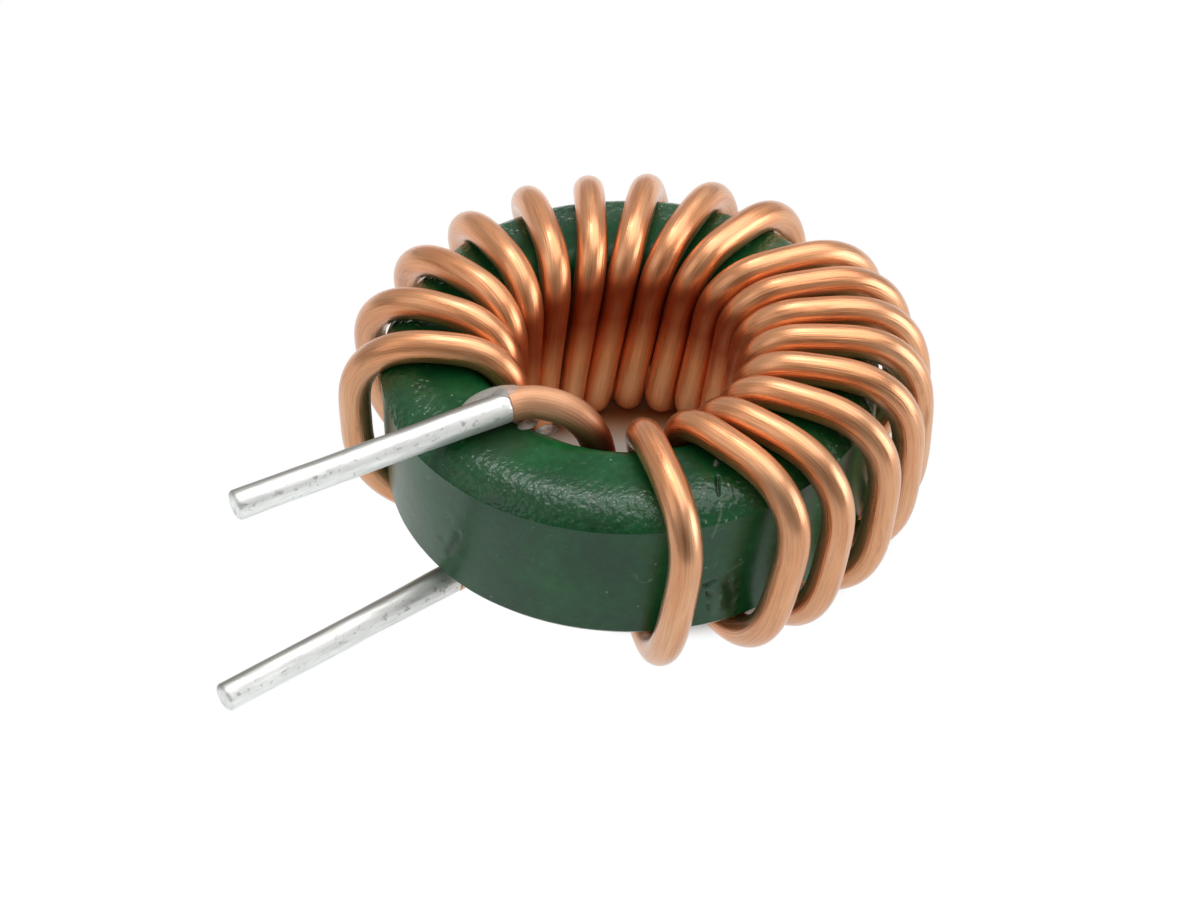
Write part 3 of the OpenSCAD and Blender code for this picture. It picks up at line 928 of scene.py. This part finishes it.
floorPlan = {
    "size": 2.0,  # metres from the middle to each side
    "drop": 0.00002,  # metres below the part
    # the shaded patch: its middle beyond the axis and to its right, and where it ends
    "beyond": 2.0,
    "aside": 2.0,
    "shadeFrom": 9.3,
    "shadeTo": 10.9,
    "glossyWhite": 0.9,  # how white the floor is mirrored
}


def paleFloor(plan, ahead):
    # White where it is seen away from the part, plain paint in the hole and near it, so that the hole
    # is lit only by what falls in; that paint is browner towards the copper's feet, a painted shade and
    # copper-coloured bounce light.
    material, tree = newMaterial("pale floor")
    ray = addNode(tree, "ShaderNodeLightPath").outputs
    seen = addNode(tree, "ShaderNodeMath", {0: ray["Is Camera Ray"], 1: ray["Is Transmission Ray"]},
                   operation="MAXIMUM")
    mirrored = addNode(tree, "ShaderNodeMath", {0: ray["Is Glossy Ray"], 1: plan["glossyWhite"]},
                       operation="MULTIPLY")
    shown = addNode(tree, "ShaderNodeMath", {0: seen, 1: mirrored}, operation="MAXIMUM")
    place = addNode(tree, "ShaderNodeTexCoord").outputs["Object"]
    beyond = Vector((ahead.x, ahead.y, 0)).normalized()
    aside = Vector((beyond.y, -beyond.x, 0))
    middle = (beyond * plan["beyond"] + aside * plan["aside"]) * mm
    away = addNode(tree, "ShaderNodeVectorMath", {0: place, 1: tuple(middle)}, operation="DISTANCE")
    clear = addNode(tree, "ShaderNodeMapRange",
                    {"Value": away, "From Min": plan["shadeFrom"] * mm,
                     "From Max": plan["shadeTo"] * mm}, interpolation_type="SMOOTHSTEP")
    share = addNode(tree, "ShaderNodeMath", {0: shown, 1: clear}, operation="MULTIPLY")
    depth = addNode(tree, "ShaderNodeVectorMath", {0: place, 1: tuple(beyond)}, operation="DOT_PRODUCT")
    inHole = addNode(tree, "ShaderNodeMapRange", {"Value": depth, "From Max": 10 * mm})
    # pale blue-green on the camera's side, then a brown band of painted shade and copper-coloured
    # bounce light
    tint = addNode(tree, "ShaderNodeValToRGB", {"Fac": inHole},
                   [(0.2, "#d9eced"), (0.34, "#e2eae2"), (0.46, "#c9ab88"), (0.55, "#b98a5c"),
                    (0.72, "#e9e3d8")])
    paint = addNode(tree, "ShaderNodeBsdfDiffuse", {"Color": tint})
    glow = addNode(tree, "ShaderNodeEmission", {"Color": (1, 1, 1, 1), "Strength": 1.0})
    mixed = addNode(tree, "ShaderNodeMixShader", {0: share, 1: paint, 2: glow})
    addNode(tree, "ShaderNodeOutputMaterial", {"Surface": mixed})
    return material


roomPlan = {
    "front": 0.4,  # the level on the camera's side, and behind the part
    "back": 0.75,
    "low": 0.7,  # share of that near the horizon, and high up
    "high": 1.05,
    "dark": 0.4,  # share of it in the dark place
    "darkColour": "#e3a272",
    "darkUp": 29,  # the dark place's height in degrees above the horizon
    "darkFrom": 8,  # and its inner and outer reach in degrees
    "darkTo": 24,
}


def setWorld(plan, ahead):
    # A pale room: lighter behind the part than on the camera's side, and dark and warm where the
    # camera and its stand are, which the wire's bends mirror.
    world = bpy.data.worlds.new("studio")
    world.use_nodes = True
    tree = world.node_tree
    tree.nodes.clear()
    ray = addNode(tree, "ShaderNodeLightPath").outputs
    seen = addNode(tree, "ShaderNodeMath", {0: ray["Is Camera Ray"], 1: ray["Is Transmission Ray"]},
                   operation="MAXIMUM")
    direction = addNode(tree, "ShaderNodeTexCoord").outputs["Generated"]
    flat = Vector((ahead.x, ahead.y, 0)).normalized()
    behind = addNode(tree, "ShaderNodeVectorMath", {0: direction, 1: tuple(flat)},
                     operation="DOT_PRODUCT")
    level = addNode(tree, "ShaderNodeMapRange",
                    {"Value": behind, "From Min": -1.0, "From Max": 1.0, "To Min": plan["front"],
                     "To Max": plan["back"]})
    up = math.radians(plan["darkUp"])
    stand = -flat * math.cos(up) + Vector((0, 0, math.sin(up)))
    nearCamera = addNode(tree, "ShaderNodeVectorMath", {0: direction, 1: tuple(stand)},
                         operation="DOT_PRODUCT")
    dark = addNode(tree, "ShaderNodeMapRange",
                   {"Value": nearCamera, "From Min": math.cos(math.radians(plan["darkTo"])),
                    "From Max": math.cos(math.radians(plan["darkFrom"])), "To Min": 1.0,
                    "To Max": plan["dark"]}, interpolation_type="SMOOTHSTEP")
    height = addNode(tree, "ShaderNodeSeparateXYZ", {0: direction}).outputs["Z"]
    upward = addNode(tree, "ShaderNodeMapRange",
                     {"Value": height, "From Min": 0.55, "From Max": 0.9, "To Min": plan["low"],
                      "To Max": plan["high"]}, interpolation_type="SMOOTHSTEP")
    graded = addNode(tree, "ShaderNodeMath", {0: level, 1: upward}, operation="MULTIPLY")
    shade = addNode(tree, "ShaderNodeMath", {0: graded, 1: dark}, operation="MULTIPLY")
    shown = addNode(tree, "ShaderNodeMix", {"Factor": seen, "A": shade, "B": 1.0})
    plain = addNode(tree, "ShaderNodeMath", {0: seen, 1: dark}, operation="MAXIMUM")
    tint = addNode(tree, "ShaderNodeMix", {"Factor": plain, "A": plan["darkColour"], "B": (1, 1, 1, 1)},
                   data_type="RGBA")
    sky = addNode(tree, "ShaderNodeBackground", {"Color": tint, "Strength": shown})
    addNode(tree, "ShaderNodeOutputWorld", {"Surface": sky})
    scene.world = world


# name, azimuth from the camera's heading, elevation, distance and size in metres, power
lampPlaces = [
    ("topBox", -45, 71, 0.4, 0.42, 0.92),
    ("sparkBox", 14, 64, 0.4, 0.1, 0.13),
    ("leftBox", 110, 40, 0.45, 0.25, 0.15),
    ("rightBox", -96, 15, 0.5, 0.34, 1.25),
]

ahead = setCamera(cameraPlace)
reach = floorPlan["size"]
corners = [(x * reach, y * reach, -floorPlan["drop"]) for x, y in ((-1, -1), (1, -1), (1, 1), (-1, 1))]
floor = meshObject("floor", corners, [(0, 1, 2, 3)], paleFloor(floorPlan, ahead), smooth=False)
setWorld(roomPlan, ahead)
for name, azimuth, elevation, distance, size, power in lampPlaces:
    addLamp(name, cameraPlace["azimuth"] + azimuth, elevation, distance, size, power)
scene.view_settings.view_transform = "Standard"
print("stage set")
